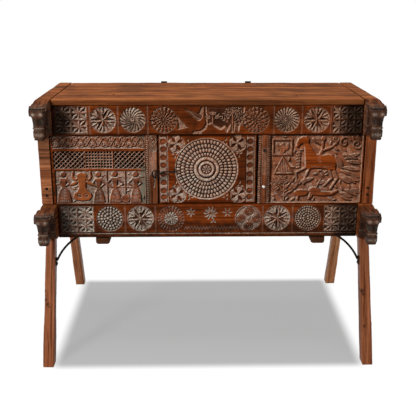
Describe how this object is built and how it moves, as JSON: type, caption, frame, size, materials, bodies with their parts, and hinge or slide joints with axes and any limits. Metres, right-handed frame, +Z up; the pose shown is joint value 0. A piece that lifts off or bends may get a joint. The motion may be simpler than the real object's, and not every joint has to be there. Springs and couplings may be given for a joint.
{
  "type": "dowry chest",
  "caption": "Carved wooden dowry chest on splayed legs, with horse-head beam ends, a lift-up lid, a pivoting front door and a hooked door chain.",
  "frame": {"origin": "on the floor, under the middle of the four feet", "axes": "+X along the chest to the viewer's right, -Y towards the carved front, +Z up"},
  "size_m": [1.2408, 0.792, 0.955],
  "materials": {
    "carved_wood": "worn, carved, grey dust in the recesses",
    "frame_wood": "worn, dark oiled",
    "lid_wood": "worn, waxed",
    "leg_wood": "satin",
    "plain_wood": "raw, aged",
    "iron": "blackened, worn"
  },
  "bodies": {
    "chest": {"back_boards": "plain_wood", "beam_lower_left": "frame_wood", "beam_lower_right": "frame_wood", "beam_upper_left": "frame_wood", "beam_upper_right": "frame_wood", "bearer_left": "plain_wood", "bearer_right": "plain_wood", "door_stop": "plain_wood", "floor_boards": "plain_wood", "hinge_leaf_back_left": "iron", "hinge_leaf_back_right": "iron", "hinge_nails_back": "iron", "hinge_pins": "iron", "jamb_left": "carved_wood", "jamb_nails": "iron", "jamb_right": "carved_wood", "jamb_staple": "iron", "leg_front_left": "leg_wood", "leg_front_right": "leg_wood", "leg_rear_left": "leg_wood", "leg_rear_right": "leg_wood", "panel_front_left": "carved_wood", "panel_front_right": "carved_wood", "post_front_left": "frame_wood", "post_front_right": "frame_wood", "post_pegs": "frame_wood", "post_rear_left": "frame_wood", "post_rear_right": "frame_wood", "rail_front_lower": "carved_wood", "rail_front_upper": "carved_wood", "rail_rear_lower": "plain_wood", "rail_rear_upper": "plain_wood", "side_boards_left": "plain_wood", "side_boards_right": "plain_wood", "stay_front_left": "iron", "stay_front_right": "iron", "stay_rear_left": "iron", "stay_rear_right": "iron", "stay_screws": "iron"},
    "lid": {"lid_board_front": "lid_wood", "lid_board_middle": "lid_wood", "lid_board_rear": "lid_wood", "lid_batten_left": "lid_wood", "lid_batten_right": "lid_wood", "lid_nails": "iron", "hinge_leaf_lid_left": "iron", "hinge_leaf_lid_right": "iron", "hinge_nails_lid": "iron"},
    "door": {"door_leaf": "carved_wood", "door_ledge_lower": "plain_wood", "door_ledge_upper": "plain_wood", "door_nails": "iron", "door_pivot_lower": "iron", "door_pivot_upper": "iron", "door_staple": "iron"},
    "link_1": {"chain_link_1": "iron"},
    "link_2": {"chain_link_2": "iron"},
    "link_3": {"chain_link_3": "iron"},
    "ring": {"hasp_ring": "iron"}
  },
  "joints": [
    {"name": "lid_lift", "type": "hinge", "parent": "chest", "child": "lid", "pos_m": [0, 0.23, 0.951], "axis": [-1, 0, 0], "range_deg": [0, 100]},
    {"name": "door_swing", "type": "hinge", "parent": "chest", "child": "door", "pos_m": [0.168, -0.206, 0.6945], "axis": [0, 0, 1], "range_deg": [0, 97]},
    {"name": "link_1_swing", "type": "hinge", "parent": "door", "child": "link_1", "pos_m": [-0.11996, -0.23, 0.691], "axis": [-0.1392, 0, 0.9903], "range_deg": [0, 75]},
    {"name": "link_2_swing", "type": "hinge", "parent": "link_1", "child": "link_2", "pos_m": [-0.13595, -0.23, 0.68875], "axis": [-0.1392, 0, 0.9903], "range_deg": [0, 35]},
    {"name": "link_3_swing", "type": "hinge", "parent": "link_2", "child": "link_3", "pos_m": [-0.15971, -0.23, 0.68541], "axis": [-0.1392, 0, 0.9903], "range_deg": [0, 35]},
    {"name": "ring_swing", "type": "hinge", "parent": "link_3", "child": "ring", "pos_m": [-0.17571, -0.23, 0.68317], "axis": [-0.1392, 0, 0.9903], "range_deg": [0, 60]}
  ]
}
